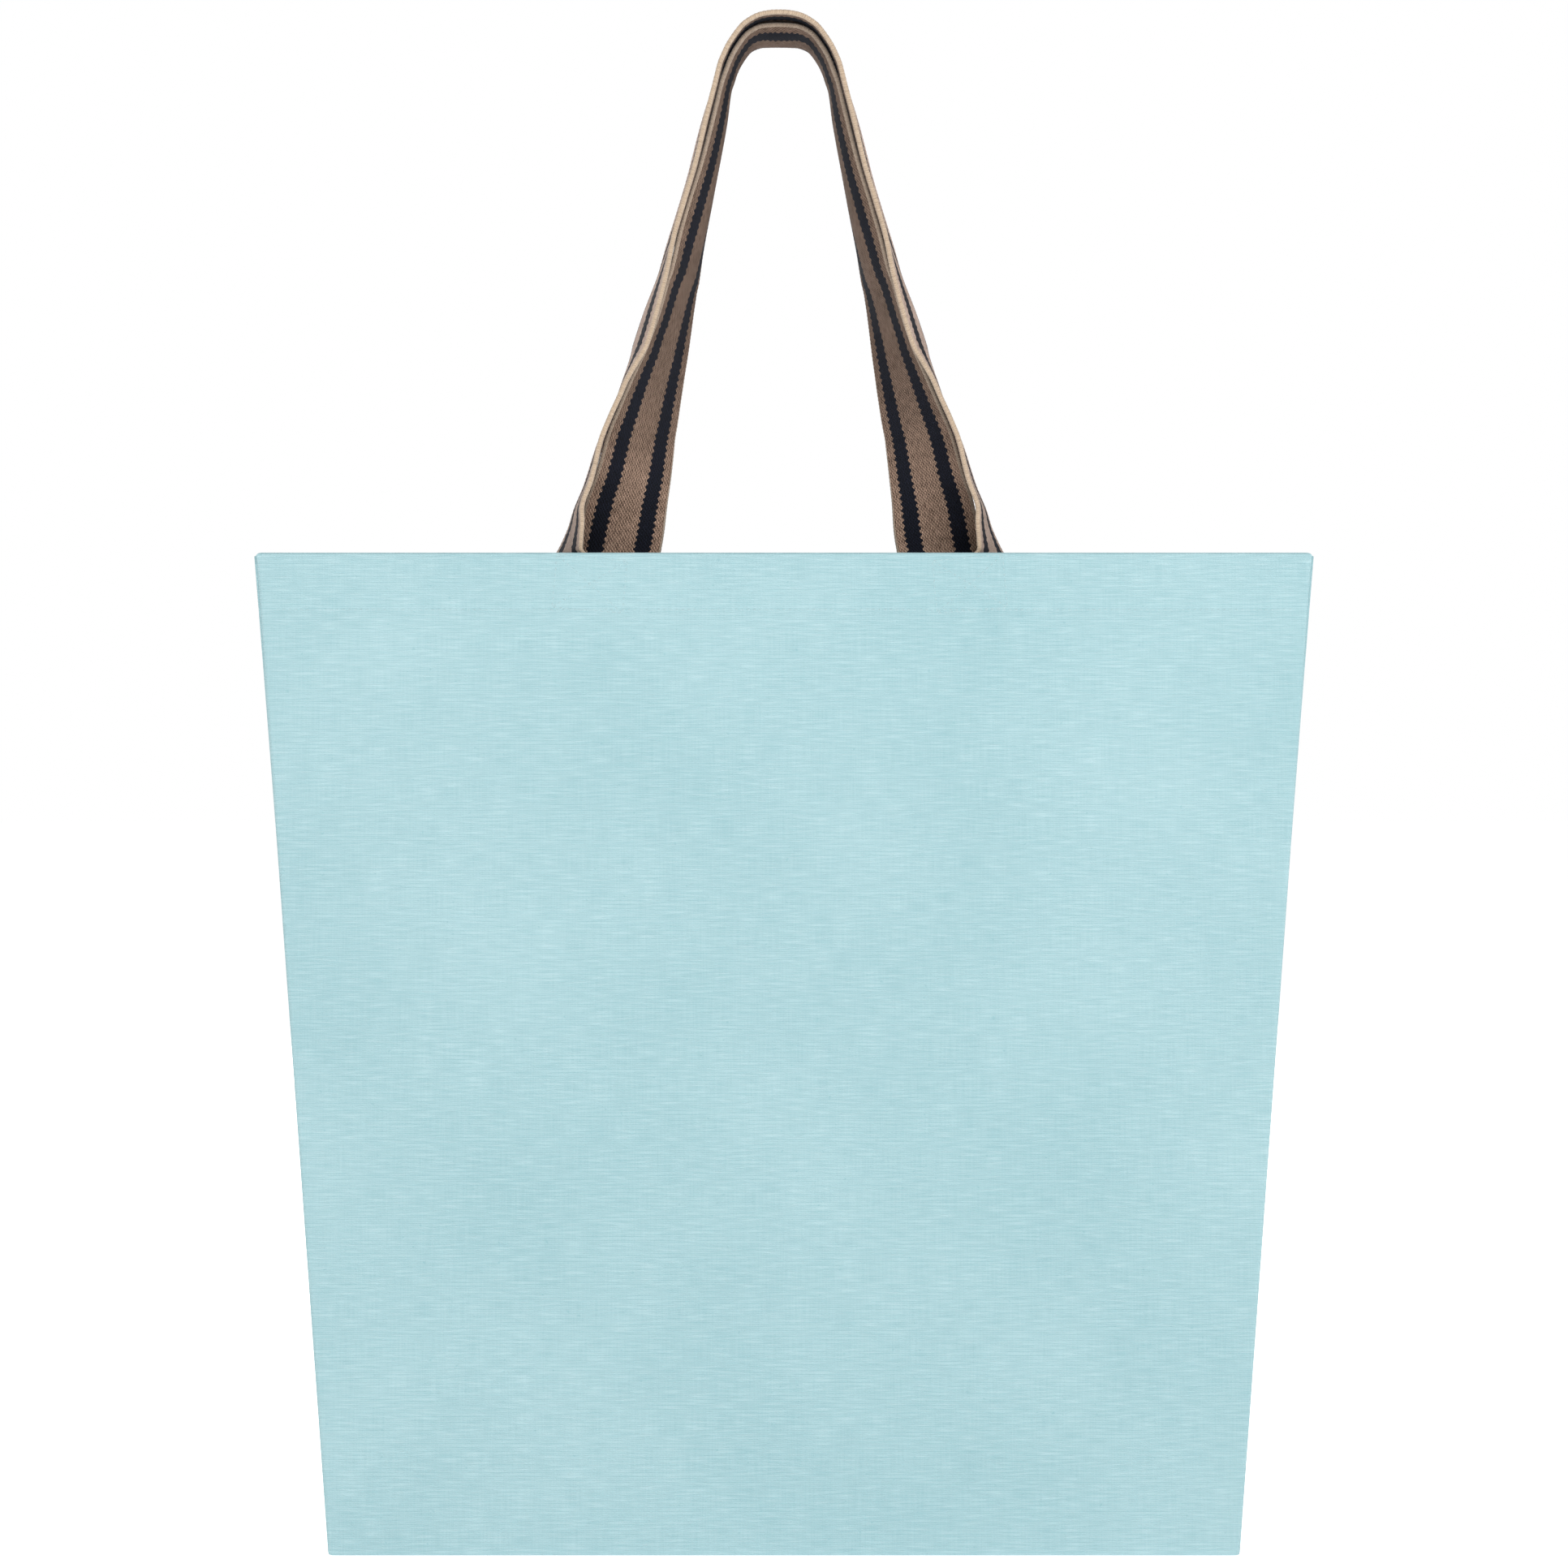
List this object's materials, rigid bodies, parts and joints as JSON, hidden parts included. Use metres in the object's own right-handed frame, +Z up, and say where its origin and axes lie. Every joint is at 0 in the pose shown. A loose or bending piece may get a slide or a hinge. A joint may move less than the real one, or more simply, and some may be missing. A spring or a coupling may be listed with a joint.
{
  "type": "canvas tote bag",
  "caption": "Open-topped canvas tote bag, wider at the mouth than at the base, with pleated side gussets and two striped webbing carrying handles.",
  "frame": {"origin": "middle of the base panel's underside, on the surface the bag stands on", "axes": "+Z up towards the handles, -Y out of the front panel, +X to the right as seen from the front"},
  "size_m": [0.48, 0.11, 0.6949],
  "materials": {
    "canvas": "matt plain-weave cotton canvas, pale aqua",
    "seam_tape": "matt cotton tape, pale aqua",
    "thread": "polyester sewing thread, paler aqua",
    "webbing": "heavy cotton webbing, tan with two navy stripes"
  },
  "bodies": {
    "bag_base": {"base_panel": "canvas", "base_front_seam_binding": "seam_tape", "base_back_seam_binding": "seam_tape", "left_gusset": "canvas", "left_gusset_hem": "canvas", "left_gusset_hem_stitching": "thread", "right_gusset": "canvas", "right_gusset_hem": "canvas", "right_gusset_hem_stitching": "thread"},
    "front_side": {"front_panel": "canvas", "front_hem": "canvas", "front_hem_stitching": "thread", "front_left_seam_binding": "seam_tape", "front_right_seam_binding": "seam_tape", "front_handle_left_end": "webbing", "front_handle_left_box_stitching": "thread", "front_handle_right_end": "webbing", "front_handle_right_box_stitching": "thread"},
    "back_side": {"back_panel": "canvas", "back_hem": "canvas", "back_hem_stitching": "thread", "back_left_seam_binding": "seam_tape", "back_right_seam_binding": "seam_tape", "back_handle_left_end": "webbing", "back_handle_left_box_stitching": "thread", "back_handle_right_end": "webbing", "back_handle_right_box_stitching": "thread"},
    "front_handle": {"front_handle_loop": "webbing"},
    "back_handle": {"back_handle_loop": "webbing"}
  },
  "joints": [
    {"name": "front_side_opens", "type": "hinge", "parent": "bag_base", "child": "front_side", "pos_m": [0, -0.055, 0], "axis": [1, 0, 0], "range_deg": [0, 3.9]},
    {"name": "back_side_opens", "type": "hinge", "parent": "bag_base", "child": "back_side", "pos_m": [0, 0.055, 0], "axis": [-1, 0, 0], "range_deg": [0, 3.9]},
    {"name": "front_handle_folds", "type": "hinge", "parent": "front_side", "child": "front_handle", "pos_m": [0, -0.025, 0.449], "axis": [1, 0, 0], "range_deg": [0, 174]},
    {"name": "back_handle_folds", "type": "hinge", "parent": "back_side", "child": "back_handle", "pos_m": [0, 0.025, 0.449], "axis": [-1, 0, 0], "range_deg": [0, 174]}
  ]
}
